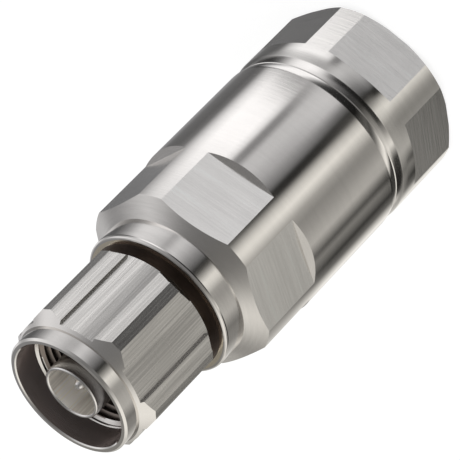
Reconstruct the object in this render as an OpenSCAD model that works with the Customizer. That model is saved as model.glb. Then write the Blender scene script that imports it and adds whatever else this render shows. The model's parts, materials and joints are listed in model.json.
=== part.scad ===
// Plug for a coaxial cable with a screwed coupling nut, standing on its back nut.
// +Z runs along the plug's axis from the cable end to the mating face.
// The origin is the centre of the back nut's rear face. Millimetres.

/* [Front body] */
// Wall of the front body round the thread of the back nut
body_wall = 1.55; // [1.4:0.05:1.7]
// Depth of the wrench flats of the front body and the back nut
flat_depth = 1; // [0.7:0.05:1.2]
// Turn of the body's flats about the axis
body_turn = -12.3; // [-30:0.1:30]
// Length of the shallow slope at the body's rear end
body_relief_len = 1.45; // [1:0.05:3]
// Length of the plain barrel between the slope and the flats
body_land_len = 17.1; // [15:0.1:30]
// Length of the wrench flats up to the cone
body_flat_len = 9.65; // [7:0.05:14]
// Angle of the front cone, from the axis
cone_angle = 60.5; // [45:0.5:75]
// Diameter of the collar in front of the cone
collar_d = 21.5; // [20:0.1:24]
// Length of the collar
collar_len = 3.65; // [3:0.05:8]
// Radius on the collar's front edge
collar_edge_r = 0.6; // [0.2:0.05:1]
// Thickness of the wall between the cavity and the collar's front face
front_wall_len = 1.95; // [1.5:0.05:2.4]
// Diameter of the neck that carries the coupling nut
neck_d = 14; // [13.8:0.1:14.2]
// Length of the neck
neck_len = 6.9; // [6.5:0.1:8]
// Diameter of the bore round the beads and the conductor socket
cavity_d = 16; // [15:0.1:17]
// Diameter of the bore that the flare seat sits in
seat_bore_d = 19; // [18:0.1:21]
// Room in front of the back nut's nose for the collet's head
nose_room = 1.65; // [1.5:0.05:2.5]
// Length of the seat bore behind the flare seat
seat_inset = 1.5; // [1.2:0.05:2]
// Length of the wide mouth that takes the body seal
seal_mouth_len = 2.45; // [2.2:0.05:3]
// Extra radius of the wide mouth
seal_mouth_step = 0.25; // [0.1:0.05:0.4]
// Depth of the shallow slopes each side of the joint with the back nut
relief_depth = 0.24; // [0.1:0.01:0.35]

/* [Mating face] */
// Outer diameter of the contact sleeve
sleeve_d = 7.95; // [7.8:0.01:8.03]
// Bore of the contact sleeve
sleeve_bore_d = 7; // [6.8:0.01:7.1]
// Reach of the contact sleeve past the gasket
sleeve_reach = 9.1; // [8.8:0.05:9.3]
// Wall of the neck round the root of the contact sleeve
neck_wall = 1.85; // [1.7:0.05:2.2]
// Radial step from the sleeve's root out to its flange
sleeve_flange_step = 0.85; // [0.6:0.05:1.3]
// Length of the flange at the sleeve's rear end
sleeve_flange_len = 2; // [1:0.1:3]
// Diameter of the centre pin
pin_d = 1.6; // [1.5:0.01:1.68]
// Distance from the sleeve's tip back to the pin's tip
pin_recess = 1.25; // [0.8:0.05:4]
// Length of the centre pin in front of its stem
pin_len = 4; // [3.6:0.1:5]
// Diameter of the stem behind the pin
stem_d = 3.04; // [2.8:0.01:3.2]
// Length of the pin's tapered tip
pin_taper_len = 0.9; // [0.5:0.05:1.2]
// Depth of the stem's groove that holds the front bead
bead_groove_depth = 0.25; // [0.15:0.05:0.35]
// Diameter of the stud that joins the stem to the socket
stud_d = 2.34; // [2:0.02:2.5]
// Length of the stud
stud_len = 4.5; // [3:0.1:4.8]
// Thickness of the interface gasket
gasket_t = 1.3; // [1:0.05:1.8]
// Radial gap between the interface gasket and the sleeve's root
gasket_gap = 0.25; // [0.1:0.05:0.4]

/* [Coupling nut] */
// Length of the coupling nut
coupling_len = 15.35; // [14.5:0.05:17]
// Gap between the collar and the coupling nut
coupling_gap = 2.6; // [2:0.05:3]
// Travel of the coupling nut along the neck
coupling_float = 1.2; // [0.6:0.05:1.2]
// Diameter of the nut's base cylinder between the lobes
coupling_base_d = 19.1; // [18.9:0.05:19.5]
// Width across the flats of the lobes
coupling_af = 19.12; // [19:0.02:19.6]
// Width across the cut corners of the lobes
coupling_corner_d = 21.2; // [20.8:0.1:21.6]
// Half of the angle between two lobes
lobe_gap_angle = 15; // [10:0.5:20]
// Length of the bevel on the front of the lobes
lobe_bevel = 1.43; // [1.2:0.01:1.5]
// Bevel on the rear edge of the lobes
coupling_rear_bevel = 0.25; // [0.1:0.05:0.5]
// Length of the plain rim in front of the lobes
rim_len = 2.3; // [1.5:0.1:3.5]
// Diameter of the plain rim
rim_d = 17.9; // [17.6:0.05:18.4]
// Chamfer on the rim's front edge
rim_chamfer = 0.27; // [0.1:0.01:0.4]
// Bore of the plain mouth
mouth_d = 16.15; // [16:0.05:16.4]
// Depth of the plain mouth
mouth_depth = 3.8; // [3:0.1:5]
// Major diameter of the coupling thread
thread_major_d = 15.88; // [15.8:0.02:16]
// Minor diameter of the coupling thread at its lead-in
thread_minor_d = 14.9; // [14.7:0.05:15.1]
// Pitch of the coupling thread
thread_pitch = 1.058; // [1:0.001:1.1]
// Number of thread grooves
thread_turns = 5; // [4:1:6]
// Thickness of the nut's rear wall round the neck
coupling_wall_len = 1.6; // [1.3:0.1:2]
// Thickness of the retaining ring
ring_t = 1.1; // [0.8:0.05:1.2]
// Outer diameter of the retaining ring
ring_d = 17; // [16.6:0.1:17.4]
// Depth of the retaining ring's groove in the neck
neck_groove_depth = 0.8; // [0.5:0.05:0.9]

/* [Back nut] */
// Width of the chamfer on the nut's rear face
nut_chamfer_w = 0.9; // [0.5:0.05:1.1]
// Length of the chamfer on the nut's rear edge
nut_chamfer_len = 0.65; // [0.3:0.05:1]
// Turn of the back nut's flats about the axis
nut_turn = -21.6; // [-30:0.1:30]
// Length of the back nut's wrench flats
nut_flat_len = 8.75; // [6:0.05:10]
// Length of the plain ring in front of the flats
nut_land_len = 2.9; // [2.5:0.1:4]
// Length of the shallow slope at the nut's front end
nut_relief_len = 1.45; // [1:0.05:3]
// Length of the nut's nose inside the body
nose_len = 10.3; // [9:0.1:11]
// Wall of the nut's nose, from the thread's crests to the bore
nose_wall = 1.9; // [1.7:0.05:2.1]
// Pitch of the nose's thread
nose_pitch = 1; // [0.8:0.1:1.2]
// Depth of the nose's thread
nose_thread_depth = 0.5; // [0.3:0.05:0.6]
// Width of the cone at the mouth of the nose
nose_cone = 0.9; // [0.5:0.05:1]
// Thickness of the nut's rear wall
nut_wall_len = 3.05; // [1.5:0.05:4]
// Diameter of the cable hole
cable_hole_d = 16.6; // [16.2:0.1:17.4]
// Width of the ring that keeps the gaskets in the nut
gasket_ledge = 1.7; // [1.5:0.05:2]
// Thickness of the cord of the body seal
seal_cord_d = 1.16; // [1:0.02:1.2]
// Depth of the body seal's groove
seal_groove_depth = 0.95; // [0.9:0.05:1.1]
// Setback of the body seal from the nut's shoulder
seal_setback = 1.05; // [0.8:0.05:1.3]

/* [Clamping parts] */
// Reach of the jacket gasket's lips inside the cable hole
lip_reach = 0.2; // [0.16:0.01:0.22]
// Height of the jacket gasket's lips
lip_h = 0.5; // [0.3:0.05:0.6]
// Radial step from the cable hole out to the bores of the gasket rings
ring_step = 0.3; // [0.2:0.05:0.5]
// Length of the jacket gasket
jacket_gasket_len = 8.5; // [6:0.1:9]
// Length of each gasket ring
gasket_ring_len = 1.5; // [1:0.1:2]
// Thickness of the thrust washer
washer_t = 0.6; // [0.4:0.05:0.8]
// Radial gap between the collet's head and the body's thread
head_gap = 1.35; // [1:0.05:1.5]
// Wall of the collet's fingers
finger_wall = 1.1; // [0.9:0.05:1.15]
// Width of the round groove in the collet's head
spring_groove_len = 0.7; // [0.5:0.05:0.75]
// Depth of the groove in the collet's head
spring_groove_depth = 0.35; // [0.2:0.05:0.4]
// Radial step from the cable hole in to the collet's bore
collet_step = 0.9; // [0.7:0.05:1.1]
// Reach of the collet's tips inside its bore
tip_reach = 1.1; // [0.8:0.05:1.2]
// Width of the slots between the collet's fingers
collet_slot_w = 0.8; // [0.5:0.1:1.2]
// Number of the collet's fingers
collet_fingers = 8; // [6:2:10]
// Length of the flare seat
flare_len = 3; // [2.5:0.1:3.5]

/* [Inner conductor] */
// Outer diameter of the conductor socket
socket_d = 6.8; // [6.4:0.1:7.4]
// Bore of the conductor socket
socket_bore_d = 4.9; // [4.6:0.1:5.1]
// Length of the conductor socket
socket_len = 11; // [10:0.1:11.5]
// Depth of the socket's bore
socket_depth = 6; // [5:0.1:7]
// Width of the socket's four slots
socket_slot_w = 0.5; // [0.3:0.05:0.8]
// Thickness of the rear bead
rear_bead_t = 3; // [2:0.1:4]
// Length of the bead ring
bead_ring_len = 3; // [2:0.1:3.5]
// Length of the front bead
front_bead_len = 3; // [2:0.1:3.5]
// Wall of the bead ring
bead_ring_wall = 1.4; // [1:0.1:2]
// Setback of the socket spring's groove from the socket's mouth
socket_groove_setback = 1.2; // [0.8:0.1:2]
// Width of the socket spring's groove
socket_groove_len = 1; // [0.8:0.05:1.2]
// Depth of the socket spring's groove
socket_groove_depth = 0.4; // [0.3:0.05:0.5]

/* [Fits] */
// Radial gap between two fixed parts
seat_clearance = 0.03; // [0.01:0.01:0.05]
// Radial gap between two parts that turn or slide
run_clearance = 0.05; // [0.03:0.01:0.08]
// Radial gap round the loose clamping parts
loose_clearance = 0.1; // [0.06:0.01:0.15]
// End gap between parts that move apart
end_clearance = 0.05; // [0.02:0.01:0.1]
// Gap between the collet and the parts that it closes against
collet_clearance = 0.3; // [0.2:0.05:0.4]
// Chamfer that breaks a sharp turned edge
edge_break = 0.15; // [0.05:0.01:0.2]

/* [Hidden] */
$fn = 96;
// how far a cutter reaches past the metal
past = 2;

PLATE = [0.78, 0.78, 0.75];
SILVER = [0.86, 0.86, 0.84];
GOLD = [0.83, 0.68, 0.36];
BRASS = [0.76, 0.65, 0.36];
WHITE = [0.93, 0.93, 0.91];
RUBBER = [0.10, 0.10, 0.11];
SPRING = [0.55, 0.55, 0.56];

// radii from the cable hole out to the barrel
cable_r = cable_hole_d / 2;
chamber_r = cable_r + gasket_ledge;
nose_r = chamber_r + nose_wall;
thread_bore_r = nose_r + run_clearance;
body_r = thread_bore_r + body_wall;
relief_r = body_r - relief_depth;
flat_r = body_r - flat_depth;

// stations along the axis, from the rear face up
z_nut_land = nut_flat_len;
z_nut_relief = z_nut_land + nut_land_len;
z_split = z_nut_relief + nut_relief_len;
z_body_land = z_split + body_relief_len;
z_body_flat = z_body_land + body_land_len;
z_cone = z_body_flat + body_flat_len;
z_collar = z_cone + (body_r - collar_d / 2) / tan(cone_angle);
z_collar_front = z_collar + collar_len;
z_neck_front = z_collar_front + neck_len;
z_sleeve_tip = z_neck_front + gasket_t + sleeve_reach;
z_pin_tip = z_sleeve_tip - pin_recess;
z_stem_front = z_pin_tip - pin_len;
z_coupling = z_collar_front + coupling_gap;
z_coupling_front = z_coupling + coupling_len;
z_rim = z_coupling_front - rim_len;

// stations inside the body
z_nose_front = z_split + nose_len;
z_seat_bore = z_nose_front + nose_room;
z_flare = z_seat_bore + seat_inset;
z_cavity = z_flare + flare_len;
z_cavity_front = z_collar_front - front_wall_len;
z_sleeve_root = z_cavity_front + sleeve_flange_len;
z_front_bead = z_sleeve_root + sleeve_flange_len / 2;
z_rear_bead = z_cavity_front - rear_bead_t;
z_bead_ring = z_rear_bead - bead_ring_len;
z_socket = z_rear_bead - socket_len;
z_socket_groove = z_socket + socket_groove_setback;

// stations of the parts that the back nut carries
z_seal = z_split + seal_setback;
z_rear_ring = nut_wall_len + end_clearance;
z_gasket = z_rear_ring + gasket_ring_len;
z_front_ring = z_gasket + jacket_gasket_len;
z_washer = z_front_ring + gasket_ring_len;
z_collet = z_washer + washer_t;
z_head_front = z_seat_bore - collet_clearance;
z_spring = z_head_front - collet_clearance - spring_groove_len;

// stations of the coupling nut's inside
z_ring = z_coupling + coupling_wall_len + end_clearance;
z_ring_front = z_ring + ring_t;
z_mouth = z_coupling_front - mouth_depth;
z_thread_front = z_mouth - (mouth_d - thread_minor_d) / 2;
z_thread_rear = z_thread_front - (thread_turns + 0.5) * thread_pitch;

// radii that follow from the sizes above
stack_r = chamber_r - loose_clearance;
lip_r = cable_r - lip_reach;
ring_bore_r = cable_r + ring_step;
collet_bore_r = cable_r - collet_step;
tip_r = collet_bore_r - tip_reach;
seal_groove_r = nose_r - seal_groove_depth;
head_r = thread_bore_r - head_gap;
neck_r = neck_d / 2;
neck_groove_r = neck_r - neck_groove_depth;
root_bore_r = neck_r - neck_wall;
flange_bore_r = root_bore_r + sleeve_flange_step;
ring_room_r = ring_d / 2 + run_clearance;

// a run of points on an arc round c
function arc(c, r, a0, a1, n = 8) =
    [for (i = [0:n]) c + r * [cos(a0 + (a1 - a0) * i / n), sin(a0 + (a1 - a0) * i / n)]];

// a solid turned from a section of [radius, height] points
module turned(section) {
    rotate_extrude() polygon(section);
}

// a plain ring
module ring(outer_r, inner_r, z, len) {
    turned([[inner_r, z], [outer_r, z], [outer_r, z + len], [inner_r, z + len]]);
}

// a cutter for one slot in the wall of a ring
module slot(width, reach, z, len, turn = 0) {
    rotate(turn) translate([0, -width / 2, z]) cube([reach, width, len]);
}

// cutters that leave six flats; side points are [distance from the axis, height]
module flats_cut(side, turn, width) {
    for (k = [0:5])
        rotate(turn + 60 * k)
            translate([0, width / 2, 0])
                rotate([90, 0, 0])
                    linear_extrude(width) polygon(side);
}

// the lobes: a hexagon with its corners cut flat, hollowed back to the base cylinder
module coupling_lobes() {
    corner_r = coupling_corner_d / 2;
    reach = corner_r + past;
    difference() {
        intersection() {
            translate([0, 0, z_coupling])
                cylinder(d = coupling_af / cos(30), h = coupling_len, $fn = 6);
            translate([0, 0, z_coupling])
                rotate(30) cylinder(d = coupling_corner_d / cos(30), h = coupling_len, $fn = 6);
            turned([
                [0, z_coupling],
                [corner_r - coupling_rear_bevel, z_coupling],
                [reach, z_coupling + coupling_rear_bevel + (reach - corner_r)],
                [reach, z_rim - lobe_bevel - (reach - corner_r)],
                [corner_r - lobe_bevel, z_rim],
                [0, z_rim]
            ]);
        }
        for (k = [0:5])
            rotate(30 + 60 * k)
                translate([0, 0, z_coupling])
                    linear_extrude(coupling_len)
                        polygon([
                            [0, 0],
                            [reach, -reach * tan(lobe_gap_angle)],
                            [reach, reach * tan(lobe_gap_angle)]
                        ]);
    }
}

// the base cylinder with its bevelled ends, and the plain rim
module coupling_base() {
    corner_r = coupling_corner_d / 2;
    base_r = coupling_base_d / 2;
    rim_r = rim_d / 2;
    turned([
        [0, z_coupling],
        [base_r - edge_break, z_coupling],
        [base_r, z_coupling + edge_break],
        [base_r, z_rim - lobe_bevel + (corner_r - base_r)],
        [corner_r - lobe_bevel, z_rim],
        [rim_r, z_rim],
        [rim_r, z_coupling_front - rim_chamfer],
        [rim_r - rim_chamfer, z_coupling_front],
        [0, z_coupling_front]
    ]);
}

module coupling_nut() {
    thread_r = thread_major_d / 2;
    minor_r = thread_minor_d / 2;
    mouth_r = mouth_d / 2;
    z_wall = z_ring - end_clearance;
    z_relief = z_ring_front + end_clearance;
    // one groove of the thread, from its root edge to its crest, as shares of the pitch
    groove = [0.5, 0.42, 0.08, 0];
    color(PLATE) difference() {
        rotate(30) {
            coupling_base();
            coupling_lobes();
        }
        turned(concat(
            [
                [0, z_coupling - past],
                [neck_r + run_clearance, z_coupling - past],
                [neck_r + run_clearance, z_wall],
                [ring_room_r, z_wall],
                [ring_room_r, z_relief],
                [thread_r + edge_break, z_relief],
                [thread_r + edge_break, z_thread_rear]
            ],
            [for (i = [thread_turns:-1:0], p = [0:3])
                [p == 0 || p == 3 ? minor_r : thread_r,
                 z_thread_front - (i + groove[p]) * thread_pitch]],
            [
                [mouth_r, z_mouth],
                [mouth_r, z_coupling_front - edge_break],
                [mouth_r + edge_break, z_coupling_front],
                [mouth_r + edge_break, z_coupling_front + past],
                [0, z_coupling_front + past]
            ]
        ));
    }
}

module retaining_ring() {
    gap = 2;
    color(SPRING) difference() {
        ring(ring_d / 2, neck_groove_r + run_clearance, z_ring, ring_t);
        slot(gap, ring_d, z_ring - ring_t, 3 * ring_t, 90);
    }
}

module interface_gasket() {
    color(RUBBER) ring(neck_r - loose_clearance, root_bore_r + gasket_gap,
                       z_neck_front, gasket_t);
}

module contact_sleeve() {
    outer_r = sleeve_d / 2;
    bore_r = sleeve_bore_d / 2;
    root_r = root_bore_r - seat_clearance;
    flange_r = flange_bore_r - seat_clearance;
    color(SILVER) turned([
        [bore_r, z_cavity_front],
        [flange_r, z_cavity_front],
        [flange_r, z_sleeve_root],
        [root_r, z_sleeve_root],
        [root_r, z_neck_front],
        [outer_r, z_neck_front],
        [outer_r, z_sleeve_tip - edge_break],
        [outer_r - edge_break, z_sleeve_tip],
        [bore_r + edge_break, z_sleeve_tip],
        [bore_r, z_sleeve_tip - edge_break]
    ]);
}

module centre_contact() {
    pin_r = pin_d / 2;
    stem_r = stem_d / 2;
    groove_r = stem_r - bead_groove_depth;
    color(SILVER) turned([
        [0, z_rear_bead - stud_len],
        [stud_d / 2, z_rear_bead - stud_len],
        [stud_d / 2, z_rear_bead],
        [stem_r, z_rear_bead],
        [stem_r, z_front_bead],
        [groove_r, z_front_bead],
        [groove_r, z_front_bead + front_bead_len],
        [stem_r, z_front_bead + front_bead_len],
        [stem_r, z_stem_front - edge_break],
        [stem_r - edge_break, z_stem_front],
        [pin_r, z_stem_front],
        [pin_r, z_pin_tip - pin_taper_len],
        [pin_r * 0.7, z_pin_tip - edge_break],
        [pin_r * 0.5, z_pin_tip],
        [0, z_pin_tip]
    ]);
}

module front_bead() {
    color(WHITE) ring(sleeve_bore_d / 2 - seat_clearance,
                      stem_d / 2 - bead_groove_depth + seat_clearance,
                      z_front_bead, front_bead_len);
}

module rear_bead() {
    color(WHITE) ring(cavity_d / 2 - seat_clearance, stem_d / 2 + seat_clearance,
                      z_rear_bead, rear_bead_t);
}

module bead_ring() {
    outer_r = cavity_d / 2 - seat_clearance;
    color(BRASS) ring(outer_r, outer_r - bead_ring_wall, z_bead_ring, bead_ring_len);
}

module conductor_socket() {
    socket_r = socket_d / 2;
    bore_r = socket_bore_d / 2;
    stud_hole_r = stud_d / 2 + seat_clearance;
    lead_in = 0.4;
    color(GOLD) difference() {
        turned([
            [stud_hole_r, z_rear_bead],
            [stud_hole_r, z_socket + socket_depth],
            [bore_r, z_socket + socket_depth],
            [bore_r, z_socket + lead_in],
            [bore_r + lead_in, z_socket],
            [socket_r - edge_break, z_socket],
            [socket_r, z_socket + edge_break],
            [socket_r, z_socket_groove],
            [socket_r - socket_groove_depth, z_socket_groove],
            [socket_r - socket_groove_depth, z_socket_groove + socket_groove_len],
            [socket_r, z_socket_groove + socket_groove_len],
            [socket_r, z_rear_bead]
        ]);
        for (k = [0:3])
            slot(socket_slot_w, socket_d, z_socket - socket_depth, 2 * socket_depth - 1,
                 45 + 90 * k);
    }
}

module socket_spring() {
    socket_r = socket_d / 2;
    color(SPRING) difference() {
        ring(socket_r + run_clearance, socket_r - socket_groove_depth + seat_clearance,
             z_socket_groove + end_clearance, socket_groove_len - 2 * end_clearance);
        slot(socket_slot_w, socket_d, z_socket, 2 * socket_groove_setback + socket_groove_len);
    }
}

module flare_seat() {
    outer_r = seat_bore_d / 2 - seat_clearance;
    seat_w = 1.7;
    color(BRASS) turned([
        [tip_r, z_cavity],
        [tip_r, z_flare + seat_w + edge_break],
        [tip_r + seat_w, z_flare + edge_break],
        [tip_r + seat_w + edge_break, z_flare],
        [outer_r, z_flare],
        [outer_r, z_cavity]
    ]);
}

module front_body() {
    collar_r = collar_d / 2;
    mouth_r = thread_bore_r + seal_mouth_step;
    z_groove = z_ring - coupling_float - 2 * end_clearance;
    shoulder = 0.5;
    reach = body_r;
    color(PLATE) difference() {
        turned(concat(
            [
                [mouth_r, z_split],
                [relief_r, z_split],
                [body_r, z_body_land],
                [body_r, z_cone],
                [collar_r, z_collar]
            ],
            arc([collar_r - collar_edge_r, z_collar_front - collar_edge_r], collar_edge_r, 0, 90),
            [
                [neck_r, z_collar_front],
                [neck_r, z_groove],
                [neck_groove_r, z_groove],
                [neck_groove_r, z_ring_front + end_clearance],
                [neck_r, z_ring_front + end_clearance],
                [neck_r, z_neck_front],
                [root_bore_r, z_neck_front],
                [root_bore_r, z_sleeve_root],
                [flange_bore_r, z_sleeve_root],
                [flange_bore_r, z_cavity_front],
                [cavity_d / 2, z_cavity_front],
                [cavity_d / 2, z_cavity],
                [seat_bore_d / 2, z_cavity],
                [seat_bore_d / 2, z_seat_bore],
                [thread_bore_r, z_seat_bore],
                [thread_bore_r, z_split + seal_mouth_len + seal_mouth_step],
                [mouth_r, z_split + seal_mouth_len]
            ]
        ));
        // the flats end in a sloping shoulder that rises by one for each half down
        flats_cut([
            [flat_r, z_body_flat],
            [flat_r, z_collar_front],
            [flat_r + reach, z_collar_front],
            [flat_r + reach, z_body_flat - shoulder * reach]
        ], body_turn, 2 * body_r);
    }
}

module body_seal() {
    color(RUBBER) translate([0, 0, z_seal])
        rotate_extrude()
            translate([seal_groove_r + seal_cord_d / 2 + seat_clearance, 0])
                circle(d = seal_cord_d, $fn = 32);
}

module clamp_collet() {
    skirt_r = collet_bore_r + finger_wall;
    groove_r = head_r - spring_groove_depth;
    foot_len = 2;
    foot_slope = 1;
    tip_wall = 1.4;
    tip_len = 1.6;
    z_head = z_nose_front + collet_clearance;
    z_tip = z_flare - collet_clearance;
    color(BRASS) difference() {
        turned([
            [collet_bore_r, z_collet],
            [stack_r, z_collet],
            [stack_r, z_collet + foot_len],
            [skirt_r, z_collet + foot_len + foot_slope],
            [skirt_r, z_head - (head_r - skirt_r) * 0.75],
            [head_r, z_head],
            [head_r, z_spring],
            [groove_r, z_spring],
            [groove_r, z_spring + spring_groove_len],
            [head_r, z_spring + spring_groove_len],
            [head_r, z_head_front],
            [min(head_r, seat_bore_d / 2) - 2 * collet_clearance, z_head_front],
            [tip_r + tip_wall, z_tip],
            [tip_r, z_tip - 2 * collet_clearance],
            [tip_r, z_tip - 2 * collet_clearance - tip_len],
            [collet_bore_r, z_tip - 2 * collet_clearance - tip_len - tip_reach]
        ]);
        for (k = [0:collet_fingers - 1])
            slot(collet_slot_w, 2 * head_r, z_collet + foot_len + foot_slope / 2,
                 z_cavity - z_collet, 360 * k / collet_fingers);
    }
}

module collet_spring() {
    color(SPRING) difference() {
        ring(head_r + run_clearance, head_r - spring_groove_depth + seat_clearance,
             z_spring + end_clearance, spring_groove_len - 2 * end_clearance);
        slot(collet_slot_w, 2 * head_r, z_spring - 1, spring_groove_len + 2,
             180 / collet_fingers);
    }
}

module thrust_washer() {
    color(SPRING) ring(stack_r, ring_bore_r, z_washer, washer_t);
}

module gasket_ring(z) {
    color(BRASS) ring(stack_r, ring_bore_r, z, gasket_ring_len);
}

// the bore of the jacket gasket is a row of low lips
module jacket_gasket() {
    lips = 4;
    step = jacket_gasket_len / lips;
    color(RUBBER) turned(concat(
        [[stack_r, z_front_ring], [stack_r, z_gasket]],
        [for (i = [0:lips - 1], p = [0:2])
            [lip_r + [lip_h, 0, 0][p], z_gasket + (i + [0, 0.35, 0.65][p]) * step]],
        [[lip_r + lip_h, z_front_ring]]
    ));
}

module back_nut() {
    root_r = nose_r - nose_thread_depth;
    lead_in = 2 * edge_break;
    groove_half = seal_cord_d / 2 + end_clearance;
    z_thread = z_split + seal_mouth_len + edge_break;
    turns = floor((z_nose_front - lead_in - z_thread) / nose_pitch);
    shoulder = 0.4;
    reach = body_r;
    // one ridge of the thread, as shares of the pitch
    ridge = [0.08, 0.42, 0.58, 0.92];
    color(PLATE) difference() {
        turned(concat(
            [
                [cable_r + lead_in, 0],
                [body_r - nut_chamfer_w, 0],
                [body_r, nut_chamfer_len],
                [body_r, z_nut_relief],
                [relief_r, z_split],
                [nose_r, z_split],
                [nose_r, z_seal - groove_half],
                [seal_groove_r, z_seal - groove_half],
                [seal_groove_r, z_seal + groove_half],
                [nose_r, z_seal + groove_half],
                [nose_r, z_thread - nose_thread_depth],
                [root_r, z_thread]
            ],
            [for (i = [0:turns - 1], p = [0:3])
                [p == 1 || p == 2 ? nose_r : root_r, z_thread + (i + ridge[p]) * nose_pitch]],
            [
                [root_r, z_nose_front],
                [chamber_r + nose_cone, z_nose_front],
                [chamber_r, z_nose_front - nose_cone],
                [chamber_r, nut_wall_len],
                [cable_r, nut_wall_len],
                [cable_r, lead_in]
            ]
        ));
        flats_cut([
            [flat_r, -nut_wall_len],
            [flat_r, z_nut_land],
            [flat_r + reach, z_nut_land + shoulder * reach],
            [flat_r + reach, -nut_wall_len]
        ], nut_turn, 2 * body_r);
    }
}

coupling_nut();
retaining_ring();
interface_gasket();
contact_sleeve();
centre_contact();
front_bead();
rear_bead();
bead_ring();
conductor_socket();
socket_spring();
flare_seat();
front_body();
body_seal();
clamp_collet();
collet_spring();
thrust_washer();
gasket_ring(z_front_ring);  // front_gasket_ring
jacket_gasket();
gasket_ring(z_rear_ring);  // rear_gasket_ring
back_nut();
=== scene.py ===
# %% [markdown]
# # A straight coaxial plug with a lobed coupling nut
# The plug joins a thick corrugated cable to a socket. Its body, its back nut
# and its coupling nut are turned from brass bar and plated a pale, hard
# silver white. The packed model gives every piece its place and its size.
# This lesson dresses those pieces: it works out finer surfaces for the turned
# parts, gives each metal, plastic and rubber its finish, and lights them.

import json
from math import cos, pi, radians, sin, tan

import bmesh
import bpy
import numpy as np
from mathutils import Matrix, Vector

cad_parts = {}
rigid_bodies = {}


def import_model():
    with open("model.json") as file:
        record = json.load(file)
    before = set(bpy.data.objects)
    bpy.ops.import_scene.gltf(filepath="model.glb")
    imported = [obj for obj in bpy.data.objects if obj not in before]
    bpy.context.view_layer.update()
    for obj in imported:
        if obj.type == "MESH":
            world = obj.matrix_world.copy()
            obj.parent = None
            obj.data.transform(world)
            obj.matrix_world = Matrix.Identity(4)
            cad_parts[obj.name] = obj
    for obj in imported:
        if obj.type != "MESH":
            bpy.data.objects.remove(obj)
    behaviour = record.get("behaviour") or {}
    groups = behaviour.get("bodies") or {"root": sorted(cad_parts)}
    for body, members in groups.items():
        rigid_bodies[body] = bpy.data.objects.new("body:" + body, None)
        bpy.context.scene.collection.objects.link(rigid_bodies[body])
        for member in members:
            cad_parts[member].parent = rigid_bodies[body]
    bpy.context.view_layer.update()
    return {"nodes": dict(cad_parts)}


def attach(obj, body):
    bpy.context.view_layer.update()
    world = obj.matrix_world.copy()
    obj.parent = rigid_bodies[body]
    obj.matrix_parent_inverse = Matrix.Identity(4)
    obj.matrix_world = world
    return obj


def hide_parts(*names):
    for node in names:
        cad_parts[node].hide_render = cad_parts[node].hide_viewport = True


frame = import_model()
nodes = frame["nodes"]

# %% [markdown]
# ## Surfaces from a turned section
# A lathe makes a part by holding a tool at one radius while the bar turns, so
# a turned part is one closed section swept round the axis. It could be made
# with a Screw modifier. A grid in numpy is used instead, because each point
# of the section may then change its radius and height with the angle. That
# gives wrench flats, lobes and true helical threads on the same grid, with
# every edge on a grid line. All sizes are written in millimetres.

# %% Columns of angles, and how doubled points are joined
MM = 0.001
FULL_TURN = 360.0


def columns(*spans):
    """Angles in degrees all round the axis: each span is (start, end, steps),
    and spans follow one another. The last angle is the first plus 360."""
    parts = [np.linspace(a, b, n, endpoint=False) for a, b, n in spans]
    return np.concatenate(parts + [[spans[0][0] + FULL_TURN]])


def join_doubles(mesh, reach=2e-7):
    """Joins the points that fall on one another at the seam, at poles and
    where a row has no length, and drops the faces that vanish with them."""
    shape = bmesh.new()
    shape.from_mesh(mesh)
    bmesh.ops.remove_doubles(shape, verts=shape.verts, dist=reach)
    shape.to_mesh(mesh)
    shape.free()
    mesh.shade_smooth()


print("sizes in units of", MM, "m")


# %% The grid that every turned surface is made of
def skin(name, rows, angles, finish_of=None):
    """A closed surface: point (i, j) has the radius and height of row i at
    angle j, so x = r cos a, y = r sin a, z = h. The rows run up the outside
    and down the inside, and the last row joins the first."""
    a = np.radians(angles)
    radius = np.array([np.broadcast_to(r, a.shape) for r, _ in rows])
    height = np.array([np.broadcast_to(h, a.shape) for _, h in rows])
    points = np.stack([radius * np.cos(a), radius * np.sin(a), height], -1) * MM
    n_rows, n_cols = radius.shape
    i, j = np.meshgrid(np.arange(n_rows), np.arange(n_cols - 1), indexing="ij")
    k = (i + 1) % n_rows
    quads = np.stack(
        [i * n_cols + j, i * n_cols + j + 1, k * n_cols + j + 1, k * n_cols + j], -1
    ).reshape(-1, 4)
    mesh = bpy.data.meshes.new(name)
    mesh.from_pydata(points.reshape(-1, 3), [], quads)
    if finish_of is not None:
        index = np.broadcast_to(finish_of, (n_rows, n_cols - 1)).ravel()
        mesh.polygons.foreach_set("material_index", index.astype(np.int32))
    join_doubles(mesh)
    piece = bpy.data.objects.new(name, mesh)
    bpy.context.scene.collection.objects.link(piece)
    return piece


# %% [markdown]
# ## Broken edges and a piece's place
# No real edge is perfectly sharp: tumbling and plating leave a small round on
# it, and that round catches a line of light. A Bevel modifier rounds every
# sharp edge at once, which is simpler than rows of its own for each edge.

# %% Edge rounds, and how a piece takes its node's place
def soften(piece, width, limit=12.0):
    """A small round on every edge sharper than limit, in degrees."""
    bevel = piece.modifiers.new("edge_round", "BEVEL")
    bevel.width = width * MM
    bevel.segments = 2
    bevel.limit_method = "ANGLE"
    bevel.angle_limit = radians(limit)
    bevel.harden_normals = True


def stand_for(piece, body, node):
    """Puts the finished piece in the node's place, on the node's body."""
    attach(piece, body)
    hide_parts(node)
    print(node, "->", piece.name, len(piece.data.polygons), "faces")


# %% [markdown]
# ## Wrench flats
# A flat is milled at one distance from the axis. Along a ray that makes the
# angle d with the flat's normal, the flat lies at distance / cos(d). The
# surface of a flatted bar is the smaller of that and the bar's own radius.

# %% Flats as a radius that depends on the angle
BARREL_R = 13.5
FLAT_R = 12.5
FLATS = 6
BETWEEN_FLATS = FULL_TURN / FLATS
FLAT_HALF = np.degrees(np.arccos(FLAT_R / BARREL_R))
print("each flat spans", round(2 * float(FLAT_HALF), 2), "degrees of the bar")


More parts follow.
